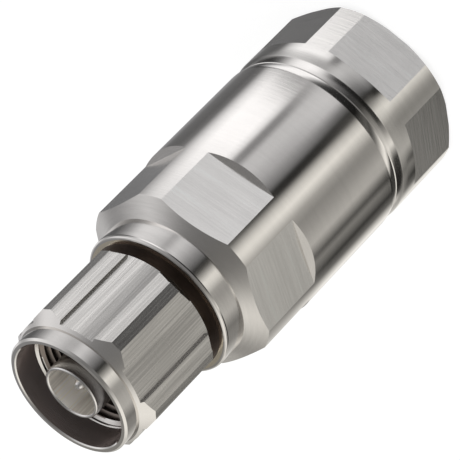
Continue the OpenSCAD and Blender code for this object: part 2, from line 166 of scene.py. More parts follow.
def from_nearest(angles, turn):
    """The angle from the nearest flat's middle, in degrees."""
    return (angles - turn + BETWEEN_FLATS / 2) % BETWEEN_FLATS - BETWEEN_FLATS / 2


def flatted(angles, turn):
    """Radius of the flatted bar: min(bar radius, flat distance / cos d)."""
    d = np.radians(from_nearest(angles, turn))
    return np.minimum(BARREL_R, FLAT_R / np.cos(d))


def shoulder_height(angles, turn, height, slope):
    """Where a sloping shoulder leaves the bar: it rises away from the flat by
    slope for each step outwards, until it meets the bar."""
    d = np.radians(from_nearest(angles, turn))
    return height + slope * np.maximum(0.0, BARREL_R * np.cos(d) - FLAT_R)


# %% The columns of a flatted bar
def flat_columns(turn, on_flat=24, between=14):
    """Columns with the exact edges of the flats among them."""
    spans = []
    for k in range(FLATS):
        middle = turn + BETWEEN_FLATS * k
        end = middle + FLAT_HALF
        spans.append((middle - FLAT_HALF, end, on_flat))
        spans.append((end, middle + BETWEEN_FLATS - FLAT_HALF, between))
    return columns(*spans)


def faces_on_flats(angles, turn):
    """For each face between two columns, whether it lies on a flat."""
    return np.abs(from_nearest((angles[:-1] + angles[1:]) / 2, turn)) < FLAT_HALF


# %% [markdown]
# ## Screw threads
# A thread is a section that climbs by one pitch in each turn. The rows of the
# grid climb with it, and each row stops where the threaded length ends, so
# the ends of the thread are flat and the crests stay on grid lines.

# %% Helical rows
def thread_rows(angles, low, high, pitch, profile, steps=12):
    """Rows z = clip(s + pitch * angle / 360, low, high) for evenly spaced s,
    with the radius profile(z, share), where share is how far the point is
    between two crests, from 0 to 1."""
    climb = pitch * (angles - angles[0]) / FULL_TURN
    step = pitch / steps
    starts = low - pitch + step * np.arange(int((high - low + pitch) / step) + 2)
    rows = []
    for start in starts:
        z = np.clip(start + climb, low, high)
        rows.append((profile(z, ((z - climb - low) / pitch) % 1.0), z))
    return rows


def ridge(share, root, crest):
    """A 60 degree ridge: root, flank, crest, flank, root."""
    stops = np.array([0, 1, 5, 7, 11, 12]) / 12.0
    return np.interp(share, stops, [root, root, crest, crest, root, root])


# %% [markdown]
# ## Front body
# The body is a barrel that holds the cable's clamp. In front it has six wrench
# flats, then a cone, a polished collar and the neck on which the coupling nut
# turns. It is one turned part, so it is one grid. The flats run out on the
# cone in a curve: where the flat's radius meets the cone, at
# z = cone start + (barrel - flat radius) / tan(cone angle).

# %% Front body: sizes
SPLIT, BODY_LAND, BODY_FLAT = 13.10, 14.55, 31.65
CONE, COLLAR, COLLAR_FRONT, NECK_FRONT = 41.30, 42.8559, 46.5059, 53.4059
SPLIT_R, SPLIT_EDGE, COLLAR_R, NECK_R = 13.26, 0.1, 10.75, 7.0
COLLAR_ROUND, ROUND_START, SEAT_R = 0.5, 0.52, 9.7
CONE_SLOPE = tan(radians(60.5))
BODY_TURN, BODY_RISE = -12.3, -0.5
# the groove of the retaining ring, the seat of the contact sleeve, the cavity
GROOVE_R, GROOVE_REAR, GROOVE_FRONT = 6.2, 49.4559, 51.9059
NECK_BORE_R, FLANGE_SEAT_R, FLANGE_REAR, FLANGE_FRONT = 5.15, 6.0, 44.5559, 46.5559
CAVITY_R, CAVITY_REAR = 8.0, 29.55
CLAMP_R, CLAMP_REAR = 9.5, 25.05
# the thread that takes the back nut
PITCH, BODY_BORE_R, THREAD_DEPTH = 1.0, 11.95, 0.4
BODY_THREAD_REAR, BODY_THREAD_FRONT = 15.80, 24.55
ENTRY_R, ENTRY_FRONT = 12.2, 15.55
body_angles = flat_columns(BODY_TURN)
print("front body: columns", len(body_angles))


# %% Front body: rounded and slightly swelling lengths of the section
def quarter_round(radius, height, size, steps=6):
    """Rows of a quarter circle that ends at (radius, height)."""
    t = np.linspace(0.0, pi / 2, steps)
    return [
        (radius - size + size * cos(v), height - size + size * sin(v)) for v in t
    ]


def swelling(r0, z0, r1, z1, sag=0.05, steps=7):
    """Rows from (r0, z0) to (r1, z1) on a shallow arc: the straight line,
    pushed outwards by sag * 4 t (1 - t)."""
    t = np.linspace(0.0, 1.0, steps)
    return [
        (r0 + (r1 - r0) * v + 4.0 * sag * v * (1.0 - v), z0 + (z1 - z0) * v) for v in t
    ]


# %% Front body: the section up the outside
body_r = flatted(body_angles, BODY_TURN)
shoulder = shoulder_height(body_angles, BODY_TURN, BODY_FLAT, BODY_RISE)
cone_z = CONE + (BARREL_R - body_r) / CONE_SLOPE
body_rows = [(ENTRY_R, SPLIT), (SPLIT_R - SPLIT_EDGE, SPLIT)]
body_rows += swelling(SPLIT_R, SPLIT + SPLIT_EDGE, BARREL_R, BODY_LAND)
SHOULDER_ROW = len(body_rows)
FLAT_ROW, CONE_ROW, COLLAR_ROW = SHOULDER_ROW + 1, SHOULDER_ROW + 2, SHOULDER_ROW + 3
body_rows += [
    (BARREL_R, shoulder),
    (body_r, BODY_FLAT),
    (body_r, cone_z),
    (COLLAR_R, COLLAR),
    (COLLAR_R, COLLAR_FRONT - ROUND_START),
]
body_rows += quarter_round(COLLAR_R, COLLAR_FRONT, COLLAR_ROUND)
SEAT_ROW = len(body_rows) - 1
body_rows += [
    (SEAT_R, COLLAR_FRONT),
    (NECK_R, COLLAR_FRONT),
    (NECK_R, GROOVE_REAR),
    (GROOVE_R, GROOVE_REAR),
    (GROOVE_R, GROOVE_FRONT),
    (NECK_R, GROOVE_FRONT),
    (NECK_R, NECK_FRONT),
]
print("front body: rows up the outside", len(body_rows))


# %% Front body: the section down the inside
def body_bore(z, share):
    """The thread in the bore is cut outwards from the plain bore."""
    return ridge(share, BODY_BORE_R, BODY_BORE_R + THREAD_DEPTH)


body_rows += [
    (NECK_BORE_R, NECK_FRONT),
    (NECK_BORE_R, FLANGE_FRONT),
    (FLANGE_SEAT_R, FLANGE_FRONT),
    (FLANGE_SEAT_R, FLANGE_REAR),
    (CAVITY_R, FLANGE_REAR),
    (CAVITY_R, CAVITY_REAR),
    (CLAMP_R, CAVITY_REAR),
    (CLAMP_R, CLAMP_REAR),
    (BODY_BORE_R, CLAMP_REAR),
    (BODY_BORE_R, BODY_THREAD_FRONT),
]
body_rows += thread_rows(
    body_angles, BODY_THREAD_REAR, BODY_THREAD_FRONT, PITCH, body_bore
)[::-1]
body_rows += [(BODY_BORE_R, BODY_THREAD_REAR), (ENTRY_R, ENTRY_FRONT)]
print("front body: rows in all", len(body_rows))

# %% Front body: which finish each face takes
# the seat is the outer ring of the collar's front face and takes a warm
# painted reflection; the neck inside it and the bores take painted shade
TURNED, MILLED, CONED, POLISHED, PAINTED_SHADE, SEAT = range(6)
on_flat = faces_on_flats(body_angles, BODY_TURN)
body_finish = np.full((len(body_rows), len(on_flat)), PAINTED_SHADE)
body_finish[:FLAT_ROW] = TURNED
body_finish[:SHOULDER_ROW - 1] = POLISHED
body_finish[SHOULDER_ROW, on_flat] = CONED
body_finish[FLAT_ROW] = np.where(on_flat, MILLED, TURNED)
body_finish[CONE_ROW] = CONED
body_finish[COLLAR_ROW:SEAT_ROW] = POLISHED
body_finish[SEAT_ROW] = SEAT
body_piece = skin("front_body_shell", body_rows, body_angles, body_finish)
soften(body_piece, 0.07)
stand_for(body_piece, "front_shell", "front_body")

# %% [markdown]
# ## Back nut
# The back nut screws into the body and squeezes the clamp on the cable. It has
# its own six flats at the rear, turned away from the body's, and a long
# threaded nose inside the body. It is a grid as the body is, and the chamfer
# at its rear is a cone, so it cuts the flats in a shallow curve.

# %% Back nut: sizes
NUT_TURN, NUT_RISE = -21.6, 0.4
NUT_FLAT, NUT_LAND, NUT_SAG = 8.75, 11.65, 0.02
CHAMFER_W, CHAMFER_LEN = 0.9, 0.65
CABLE_R, CABLE_LEAD, CABLE_FRONT = 8.3, 0.3, 3.05
PACK_R, NOSE_MOUTH_R, NOSE_MOUTH_LEN = 10.0, 10.9, 0.9
NOSE_R, NOSE_ROOT_R, NOSE_FRONT = 11.9, 11.4, 23.40
SEAL_R, SEAL_REAR, SEAL_FRONT = 10.95, 13.52, 14.78
RUN_IN_REAR, RUN_IN_FRONT = 15.20, 15.70
NOSE_THREAD_REAR, NOSE_THREAD_FRONT = 15.85, 22.85
nut_angles = flat_columns(NUT_TURN)
nut_r = flatted(nut_angles, NUT_TURN)
chamfer_r = BARREL_R - CHAMFER_W
chamfer_z = np.maximum(0.0, nut_r - chamfer_r) * CHAMFER_LEN / CHAMFER_W
nut_shoulder = shoulder_height(nut_angles, NUT_TURN, NUT_FLAT, NUT_RISE)
print("back nut: chamfer up to", round(float(chamfer_z.max()), 3), "mm")


# %% Back nut: the section
def nose_thread(z, share):
    """The nose's thread, with its crests inside the running gap."""
    return ridge(share, NOSE_ROOT_R, NOSE_R)


nut_rows = [
    (CABLE_R + CABLE_LEAD, 0.0),
    (np.minimum(nut_r, chamfer_r), 0.0),
    (nut_r, chamfer_z),
    (nut_r, NUT_FLAT),
    (BARREL_R, nut_shoulder),
]
nut_rows += swelling(BARREL_R, NUT_LAND, SPLIT_R, SPLIT - SPLIT_EDGE, NUT_SAG)
NOSE_ROW = len(nut_rows)
nut_rows += [
    (SPLIT_R - SPLIT_EDGE, SPLIT),
    (NOSE_R, SPLIT),
    (NOSE_R, SEAL_REAR),
    (SEAL_R, SEAL_REAR),
    (SEAL_R, SEAL_FRONT),
    (NOSE_R, SEAL_FRONT),
    (NOSE_R, RUN_IN_REAR),
    (NOSE_ROOT_R, RUN_IN_FRONT),
]
nut_rows += thread_rows(
    nut_angles, NOSE_THREAD_REAR, NOSE_THREAD_FRONT, PITCH, nose_thread
)
nut_rows += [
    (NOSE_ROOT_R, NOSE_THREAD_FRONT),
    (NOSE_ROOT_R, NOSE_FRONT),
    (NOSE_MOUTH_R, NOSE_FRONT),
    (PACK_R, NOSE_FRONT - NOSE_MOUTH_LEN),
    (PACK_R, CABLE_FRONT),
    (CABLE_R, CABLE_FRONT),
    (CABLE_R, CABLE_LEAD),
]
print("back nut: rows", len(nut_rows))

# %% Back nut: which finish each face takes
# rows 2 to 4 are the flats, their shoulders and the plain land in front
on_flat = faces_on_flats(nut_angles, NUT_TURN)
nut_finish = np.full((len(nut_rows), len(on_flat)), TURNED)
nut_finish[2] = np.where(on_flat, MILLED, TURNED)
nut_finish[3, on_flat] = CONED
nut_finish[5:NOSE_ROW] = POLISHED
# the nose inside the body takes the painted shade of the bores
nut_finish[NOSE_ROW:] = PAINTED_SHADE
nut_piece = skin("back_nut_shell", nut_rows, nut_angles, nut_finish)
soften(nut_piece, 0.07)
stand_for(nut_piece, "back_nut", "back_nut")

# %% [markdown]
# ## Coupling nut
# Fingers turn this nut, so it is cut into six lobes with shallow arcs between
# them. Seen from its centre, a lobe has a narrow facet in the middle, then a
# slope each side, then a small wall down to the arc. The lobes could be cut
# from a disc with Boolean modifiers. Here the radius is worked out for each
# angle, which keeps every edge exact. The lobes end in a 45 degree bevel both
# at the plain rim in front and at the rear, where only the arcs run on.

# %% Coupling nut: the radius of lobes, slopes and arcs
NUT_REAR, LOBE_REAR, RIM, NUT_FRONT = 48.0, 49.1059, 62.1559, 64.4559
BASE_R, HEX_R, CORNER_R, RIM_R, BEVEL_R = 9.55, 9.56, 10.6, 8.95, 9.17
LOBES, FIRST_LOBE, LOBE_HALF = 6, 30.0, 15.0
BETWEEN_LOBES = FULL_TURN / LOBES
ON_ARC, ON_SLOPE, ON_FACET = 25, 9, 7
# facet and slope meet where tan(angle) = (hex / corner - cos 30) / sin 30
FACET = float(np.degrees(np.arctan((HEX_R / CORNER_R - cos(pi / 6)) / sin(pi / 6))))


def lobe_radius(from_lobe):
    """Distance of the lobe at an angle from its middle: the smaller of the
    facet, corner / cos a, and the slope, hex / cos(30 - a)."""
    a = np.radians(np.abs(from_lobe))
    return np.minimum(CORNER_R / np.cos(a), HEX_R / np.cos(radians(30) - a))


lobe = np.concatenate([
    np.linspace(-LOBE_HALF, -FACET, ON_SLOPE),
    np.linspace(-FACET, FACET, ON_FACET)[1:],
    np.linspace(FACET, LOBE_HALF, ON_SLOPE)[1:],
])
arc = np.linspace(LOBE_HALF, BETWEEN_LOBES - LOBE_HALF, ON_ARC)
lobe_angles, lobe_r = [], []
for k in range(LOBES):
    middle = FIRST_LOBE + BETWEEN_LOBES * k
    lobe_angles += [middle + lobe, middle + arc]
    lobe_r += [lobe_radius(lobe), np.full(ON_ARC, BASE_R)]
lobe_angles = np.append(np.concatenate(lobe_angles), FIRST_LOBE - LOBE_HALF + FULL_TURN)
lobe_r = np.append(np.concatenate(lobe_r), lobe_radius(LOBE_HALF))
print("lobe facet half angle", round(FACET, 2), "columns", len(lobe_angles))

# %% Coupling nut: sizes of its bore, groove and thread
THREAD_MINOR, THREAD_MAJOR, COUPLING_PITCH = 7.45, 7.94, 1.058
MOUTH_R, MOUTH, THREAD_REAR, LEAD_IN = 8.075, 60.6559, 54.2119, 0.63
RUN_OUT_R, RUN_OUT_REAR = 8.09, 51.9059
RING_ROOM_R, RING_ROOM_REAR, LOOSE_R = 8.55, 50.7059, 7.05
EDGE, RIM_EDGE = 0.15, 0.27
bevel_z = RIM - (lobe_r - BEVEL_R)
rear_r = np.full_like(lobe_r, BASE_R - EDGE)
rear_z = np.minimum(NUT_REAR + lobe_r - rear_r, LOBE_REAR)
print("coupling nut: rear bevel up to", round(float(rear_z.max()), 3), "mm")


# %% Coupling nut: the section
def coupling_thread(z, share):
    """Inside thread: the smaller radius is the crest. A 45 degree lead-in
    opens it towards the mouth."""
    return np.maximum(ridge(share, THREAD_MINOR, THREAD_MAJOR), MOUTH_R - (MOUTH - z))


coupling_rows = [
    (LOOSE_R, NUT_REAR),
    (rear_r, NUT_REAR),
    (lobe_r, rear_z),
    (lobe_r, bevel_z),
    (BEVEL_R, RIM),
    (RIM_R, RIM),
    (RIM_R, NUT_FRONT - RIM_EDGE),
    (RIM_R - RIM_EDGE, NUT_FRONT),
    (MOUTH_R + EDGE, NUT_FRONT),
    (MOUTH_R, NUT_FRONT - EDGE),
    (MOUTH_R, MOUTH),
]
BORE_ROW = len(coupling_rows)
bore = thread_rows(lobe_angles, THREAD_REAR, MOUTH, COUPLING_PITCH, coupling_thread)
coupling_rows += bore[::-1]
coupling_rows += [
    (RUN_OUT_R, THREAD_REAR),
    (RUN_OUT_R, RUN_OUT_REAR),
    (RING_ROOM_R, RUN_OUT_REAR),
    (RING_ROOM_R, RING_ROOM_REAR),
    (LOOSE_R, RING_ROOM_REAR),
]
print("coupling nut: rows", len(coupling_rows))

# %% Coupling nut: which finish each face takes
# row 0 is the rear face, 1 and 3 are the bevels, 2 the lobes, 4 to 8 the rim
# and 9 the wall of the mouth, and the lead-in is as matt as the bevels; the
# rear face and the mouth's wall take a brown-grey painted shade, and the bore
# takes the painted shade of the bores
LOBED, RIMMED, MOUTHED, BEVELLED, BORED = range(5)
coupling_finish = np.full((len(coupling_rows), len(lobe_angles) - 1), BORED)
coupling_finish[[0, 9]] = MOUTHED
coupling_finish[[1, 3]] = BEVELLED
coupling_finish[2] = LOBED
coupling_finish[4:9] = RIMMED
bore_z = np.array([z for _, z in bore[::-1]])[:, :-1]
coupling_finish[BORE_ROW:BORE_ROW + len(bore)] = np.where(
    bore_z > MOUTH - LEAD_IN, BEVELLED, BORED
)
coupling_piece = skin("coupling_nut_shell", coupling_rows, lobe_angles, coupling_finish)
soften(coupling_piece, 0.05)
stand_for(coupling_piece, "coupling", "coupling_nut")

# %% [markdown]
# ## Contacts at the mating face
# The sleeve carries the outer current. It is a thin silver-plated tube with
# broken edges, so a socket's fingers slide over it. The pin is a round rod
# that narrows to a blunt tip. Both are turned, so both are sections again.

# %% Contact sleeve
SLEEVE_R, SLEEVE_BORE_R, SLEEVE_TIP = 3.975, 3.5, 63.8059
FLANGE_R, SHANK_R = 5.97, 5.12
sleeve_angles = columns((0.0, FULL_TURN, 128))
sleeve_rows = [
    (SLEEVE_BORE_R, FLANGE_REAR),
    (FLANGE_R, FLANGE_REAR),
    (FLANGE_R, FLANGE_FRONT),
    (SHANK_R, FLANGE_FRONT),
    (SHANK_R, NECK_FRONT),
    (SLEEVE_R, NECK_FRONT),
    (SLEEVE_R, SLEEVE_TIP - EDGE),
    (SLEEVE_R - EDGE, SLEEVE_TIP),
    (SLEEVE_BORE_R + EDGE, SLEEVE_TIP),
    (SLEEVE_BORE_R, SLEEVE_TIP - EDGE),
]
SMOOTH, FROSTED = range(2)
sleeve_finish = np.full((len(sleeve_rows), len(sleeve_angles) - 1), SMOOTH)
sleeve_finish[-1] = FROSTED
sleeve_piece = skin("contact_sleeve_tube", sleeve_rows, sleeve_angles, sleeve_finish)
soften(sleeve_piece, 0.05)
stand_for(sleeve_piece, "front_shell", "contact_sleeve")

# %% Centre contact
PIN_R, PIN_TIP, TIP_LEN = 0.8, 62.5559, 0.9
TAIL_R, TAIL_REAR, STEM_REAR = 1.17, 37.0559, 41.5559
STEM_R, STEM_FRONT = 1.52, 58.5559
WAIST_R, WAIST_REAR, WAIST_FRONT = 1.27, 47.5559, 50.5559
TIP_NARROWING, TIP_BLUNTNESS = 0.55, 2.4
pin_rows = [
    (0.0, TAIL_REAR),
    (TAIL_R, TAIL_REAR),
    (TAIL_R, STEM_REAR),
    (STEM_R, STEM_REAR),
    (STEM_R, WAIST_REAR),
    (WAIST_R, WAIST_REAR),
    (WAIST_R, WAIST_FRONT),
    (STEM_R, WAIST_FRONT),
    (STEM_R, STEM_FRONT - EDGE),
    (STEM_R - EDGE, STEM_FRONT),
    (PIN_R, STEM_FRONT),
    (PIN_R, PIN_TIP - TIP_LEN),
]
# the tip's radius falls as 1 - narrowing * t to the power of its bluntness
tip = np.linspace(0.0, 1.0, 9)[1:]
tip_r = PIN_R * (1.0 - TIP_NARROWING * tip**TIP_BLUNTNESS)
pin_rows += list(zip(tip_r, PIN_TIP - TIP_LEN + TIP_LEN * tip))
pin_rows += [(0.0, PIN_TIP)]
pin_piece = skin("centre_contact_pin", pin_rows, columns((0.0, FULL_TURN, 64)))
soften(pin_piece, 0.04, 20.0)
stand_for(pin_piece, "front_shell", "centre_contact")

# %% [markdown]
# ## Short calls for shader nodes
# A finish is a small tree of shader nodes. Trees could be drawn by hand in the
# Shader Editor. In a script a few short calls for adding and joining nodes
# keep each finish readable, as a formula would be.

# %% Adding and joining the nodes of one tree
class Board:
    """Short calls for one node tree. Wherever a value is asked for, a number
    or a colour is written into the socket, and a socket is joined to it."""

    def __init__(self, tree):
        self.tree = tree

    def node(self, kind, **settings):
        made = self.tree.nodes.new(kind)
        for key, value in settings.items():
            setattr(made, key, value)
        return made

    def put(self, value, target):
        if isinstance(value, (int, float, tuple)):
            target.default_value = value
        else:
            self.tree.links.new(value, target)

    def math(self, operation, *values):
        made = self.node("ShaderNodeMath", operation=operation)
        for value, target in zip(values, made.inputs):
            self.put(value, target)
        return made.outputs[0]

    def noise(self, vector, scale, detail, roughness):
        made = self.node("ShaderNodeTexNoise")
        self.put(vector, made.inputs["Vector"])
        self.put(scale, made.inputs["Scale"])
        self.put(detail, made.inputs["Detail"])
        self.put(roughness, made.inputs["Roughness"])
        return made.outputs["Fac"]

    def vector(self, x, y, z):
        made = self.node("ShaderNodeCombineXYZ")
        for value, target in zip((x, y, z), made.inputs):
            self.put(value, target)
        return made.outputs[0]

    def mix(self, share, first, second, blend="MIX"):
        """A colour between the first and the second, or their product."""
        made = self.node("ShaderNodeMix", data_type="RGBA", blend_type=blend)
        for value, index in zip((share, first, second), (0, 6, 7)):
            self.put(value, made.inputs[index])
        return made.outputs[2]


print("calls:", [name for name in vars(Board) if not name.startswith("_")])

# %% [markdown]
# ## Tool marks
# Every cutting tool leaves lines. A lathe leaves rings, a milling cutter
# leaves straight lines across a flat, and the broach that forms the lobes
# leaves lines along the axis. One shader group makes them all: it stretches
# a noise by different amounts around, across and along the axis. The group is
# built once, and each finish sets its own amounts.

# %% Shader group: its sockets
def new_group(name, inputs, outputs):
    """A shader node group with float inputs {name: default} and float outputs."""
    group = bpy.data.node_groups.new(name, "ShaderNodeTree")
    face = group.interface
    for key, value in inputs.items():
        socket = face.new_socket(key, in_out="INPUT", socket_type="NodeSocketFloat")
        socket.default_value = value
    for key in outputs:
        face.new_socket(key, in_out="OUTPUT", socket_type="NodeSocketFloat")
    return group


STRETCH = ("Around", "Across", "Along", "Radial")
tool_lines = new_group(
    "tool_lines",
    dict(zip(STRETCH, (2.0, 0.0, 9000.0, 9000.0))),
    ("Height", "Tone", "Patch"),
)
print("group", tool_lines.name, "takes", STRETCH)

# %% Shader group: the stretched noise
FINE, BROAD, CLOUD = 1.0, 0.22, 170.0
CONTRAST, OFFSET = 2.2, -1.7
b = Board(tool_lines)
given = b.node("NodeGroupInput")
result = b.node("NodeGroupOutput")
place = b.node("ShaderNodeSeparateXYZ")
b.put(b.node("ShaderNodeTexCoord").outputs["Object"], place.inputs[0])
x, y, z = place.outputs
r = b.math("SQRT", b.math("ADD", b.math("MULTIPLY", x, x), b.math("MULTIPLY", y, y)))
safe_r = b.math("MAXIMUM", r, 1e-5)


def crosswise(value):
    """value / r * Around + value * Across"""
    direction = b.math("DIVIDE", value, safe_r)
    around = b.math("MULTIPLY", direction, given.outputs["Around"])
    return b.math("MULTIPLY_ADD", value, given.outputs["Across"], around)


radial = b.math("MULTIPLY", r, given.outputs["Radial"])
lengthwise = b.math("MULTIPLY_ADD", z, given.outputs["Along"], radial)
lines_at = b.vector(crosswise(x), crosswise(y), lengthwise)
fine = b.noise(lines_at, FINE, 3.0, 0.6)
broad = b.noise(lines_at, BROAD, 3.0, 0.6)
tone = b.math("MULTIPLY_ADD", b.math("ADD", fine, broad), CONTRAST, OFFSET)
tone = b.math("MINIMUM", b.math("MAXIMUM", tone, 0.0), 1.0)
b.put(fine, result.inputs["Height"])
b.put(tone, result.inputs["Tone"])
b.put(b.noise(b.vector(x, y, z), CLOUD, 3.0, 0.55), result.inputs["Patch"])
print("group", tool_lines.name, "has", len(tool_lines.nodes), "nodes")

# %% [markdown]
# ## The plated finishes
# The plating is one metal, but each machining step leaves it with another
# gloss, so each step has a material of its own. The lines of the tool move
# its colour a little and tilt its normal, and soft clouds from handling move
# its roughness. Anisotropic gloss could stretch the highlights as fine lines
# do. It is left out, because relief and a low roughness look the same here.

# %% How a metal is built
RELIEF = 0.02


def new_finish(name):
    """A new material, the board of its nodes, and its shader."""
    made = bpy.data.materials.new(name)
    made.use_nodes = True
    return made, Board(made.node_tree), made.node_tree.nodes["Principled BSDF"]


def ripple(b, shader, height, strength):
    """A fine relief: it tilts the shader's normal and moves no surface."""
    bump = b.node("ShaderNodeBump")
    b.put(strength, bump.inputs["Strength"])
    b.put(RELIEF * MM, bump.inputs["Distance"])
    b.put(height, bump.inputs["Height"])
    b.put(bump.outputs["Normal"], shader.inputs["Normal"])


def metal(name, colour, roughness, lines, bump, tone, patch, metallic=1.0):
    """A metal: the tool lines move its colour, roughness and normal. The
    colour runs from 1 - tone to 1 + tone of itself, and the roughness from
    its own value less patch to its own value and patch."""
    made, b, shader = new_finish(name)
    marks = b.node("ShaderNodeGroup", node_tree=tool_lines)
    for key, value in zip(STRETCH, lines):
        b.put(value, marks.inputs[key])
    shade = b.math("MULTIPLY_ADD", marks.outputs["Tone"], 2.0 * tone, 1.0 - tone)
    grey = b.node("ShaderNodeCombineColor")
    for socket in grey.inputs[:3]:
        b.put(shade, socket)
    tinted = b.mix(1.0, (*colour, 1.0), grey.outputs[0], "MULTIPLY")
    clouds = marks.outputs["Patch"]
    gloss = b.math("MULTIPLY_ADD", clouds, 2.0 * patch, roughness - patch)
    b.put(tinted, shader.inputs["Base Color"])
    b.put(gloss, shader.inputs["Roughness"])
    b.put(metallic, shader.inputs["Metallic"])
    ripple(b, shader, marks.outputs["Height"], bump)
    return made


# %% The plating, by machining step
# how far the noise is stretched around, across and along the axis and outwards
RINGS = (3.0, 0.0, 7000.0, 7000.0)
CROSS = (0.0, 160.0, 4200.0, 0.0)
AXIAL = (0.0, 3600.0, 60.0, 0.0)
SPOKES = (4.0, 0.0, 40.0, 0.0)
PLATE = (0.80, 0.775, 0.745)
# the numbers after the lines are the relief, the tone and the patch
turned = metal("plated_turned", PLATE, 0.10, RINGS, 0.06, 0.02, 0.015)
nut_turned = metal(
    "plated_back_nut", (0.74, 0.72, 0.69), 0.11, RINGS, 0.10, 0.025, 0.015
)
milled = metal("plated_milled", (0.97, 0.95, 0.92), 0.17, CROSS, 0.3, 0.05, 0.04)
coned = metal("plated_cone", PLATE, 0.25, RINGS, 0.3, 0.03, 0.04)
polished = metal("plated_polished", PLATE, 0.11, RINGS, 0.05, 0.03, 0.02)
lobed = metal("plated_lobes", (0.72, 0.70, 0.67), 0.26, AXIAL, 0.6, 0.22, 0.05)
print("plated:", [m.name for m in (turned, nut_turned, milled, coned, polished, lobed)])

# %% [markdown]
# ## Painted shade and painted reflections
# The bores, the neck in the gap behind the coupling nut and the nose inside the
# body are a darker plating, as painted shade. The ring of the collar behind the
# nut is a warm plating, as a painted golden reflection, and the wall of the
# nut's mouth and the nut's rear face are a dull brown grey, as painted shade.
# The sleeve's bore is frosted, and the streaks that run along it are painted
# reflections. A lower Metallic lightens a dull surface where it mirrors nothing
# bright.

# %% Painted shade and painted reflections, and the contacts' silver
# the bores and the neck in the gap: a darker plating as painted shade
inside = metal("plated_inside_painted_shade", (0.30, 0.26, 0.23), 0.34, RINGS, 0.4, 0.1, 0.06)
# the seat: a warm plating as a painted golden reflection
seat_painted_reflection = metal("plated_seat_painted_reflection", (0.95, 0.86, 0.70), 0.18, RINGS, 0.2, 0.05, 0.04)
# the mouth's wall and the nut's rear face: a brown-grey plating as painted shade
mouth = metal(
    "plated_mouth_painted_shade", (0.50, 0.43, 0.41), 0.25, RINGS, 0.2, 0.08, 0.04, metallic=0.82
)
# the sleeve's bore: frosted, partly diffuse silver, with strong streaks as painted
# reflections
frosted_painted_streaks = metal(
    "silver_bore_painted_streaks", (0.84, 0.80, 0.74), 0.32, SPOKES, 0.3, 0.48, 0.1, metallic=0.55
)
silver = metal("silver_plate", (0.80, 0.78, 0.76), 0.2, RINGS, 0.15, 0.04, 0.04)
print("dull and silver:", [m.name for m in (inside, seat_painted_reflection, mouth, frosted_painted_streaks, silver)])

# %% [markdown]
# ## The metals inside the plug
# The socket that grips the cable is gilt, so that it never tarnishes. The
# clamp is bare brass and the springs are steel. They hardly show, and one
# turned finish each is enough.

# %% Gilt, brass and steel
gilt = metal("gilt_plate", (0.86, 0.70, 0.42), 0.2, RINGS, 0.15, 0.04, 0.03)
brass = metal("bare_brass", (0.75, 0.60, 0.33), 0.32, RINGS, 0.4, 0.06, 0.06)
spring = metal("spring_steel", (0.55, 0.54, 0.53), 0.3, RINGS, 0.3, 0.05, 0.05)
print("inner metals:", [m.name for m in (gilt, brass, spring)])

# %% [markdown]
# ## Plastic and rubber
# The beads that hold the contact are turned from a white, waxy plastic. The
# seals are moulded black rubber, which is dull and slightly mottled. A flat
# colour would look painted, so a broad noise darkens it in clouds and a fine
# noise gives its grain.

# %% Plastic and rubber finishes
CLOUD_OF_GRAIN, CLOUD_DARK = 0.08, 0.86
RAMP_LOW, RAMP_HIGH = 0.3, 0.7
GRAIN_GLOSS = 0.12


def soft_finish(name, colour, roughness, grain, bump, **plain):
    """A plastic or rubber: clouds move its colour, and a fine grain moves its
    roughness and its normal. Plain sockets take their values unchanged."""
    made, b, shader = new_finish(name)
    at = b.node("ShaderNodeTexCoord").outputs["Object"]
    fine = b.noise(at, grain, 4.0, 0.6)
    clouds = b.node("ShaderNodeValToRGB")
    low, high = clouds.color_ramp.elements
    low.position, high.position = RAMP_LOW, RAMP_HIGH
    low.color = (*[CLOUD_DARK * c for c in colour], 1.0)
    high.color = (*colour, 1.0)
    b.put(b.noise(at, grain * CLOUD_OF_GRAIN, 2.0, 0.5), clouds.inputs[0])
    gloss = b.math("MULTIPLY_ADD", fine, GRAIN_GLOSS, roughness - GRAIN_GLOSS / 2)
    b.put(clouds.outputs[0], shader.inputs["Base Color"])
    b.put(gloss, shader.inputs["Roughness"])
    ripple(b, shader, fine, bump)
    for key, value in plain.items():
        b.put(value, shader.inputs[key.replace("_", " ")])
    return made


bead = soft_finish(
    "bead_plastic", (0.86, 0.85, 0.82), 0.42, 2500.0, 0.2,
    Subsurface_Weight=0.15, Subsurface_Scale=0.001,
)
rubber = soft_finish("seal_rubber", (0.035, 0.035, 0.038), 0.55, 4200.0, 0.4)
print("soft finishes:", [m.name for m in (bead, rubber)])

# %% [markdown]
# ## Which piece wears what
# A turned piece carries several finishes, one for each machining step, and
# each of its faces holds the number of its own. The packed pieces inside the
# plug take one finish each in the slots they came with.

# %% Turned pieces: the numbers of the faces are kept while slots are filled
def dress(piece, finishes):
    """Fills the piece's slots with the finishes, in the order of its faces'
    numbers. Clearing the slots resets those numbers, so they are put back."""
    faces = piece.data.polygons
    numbers = np.empty(len(faces), np.int32)
    faces.foreach_get("material_index", numbers)
    piece.data.materials.clear()
    for finish in finishes:
        piece.data.materials.append(finish)
    faces.foreach_set("material_index", numbers)


dress(body_piece, (turned, milled, coned, polished, inside, seat_painted_reflection))
dress(nut_piece, (nut_turned, milled, coned, polished, inside))
dress(coupling_piece, (lobed, turned, mouth, coned, inside))
dress(sleeve_piece, (silver, frosted_painted_streaks))
dress(pin_piece, (silver,))
print("finishes:", len(bpy.data.materials))

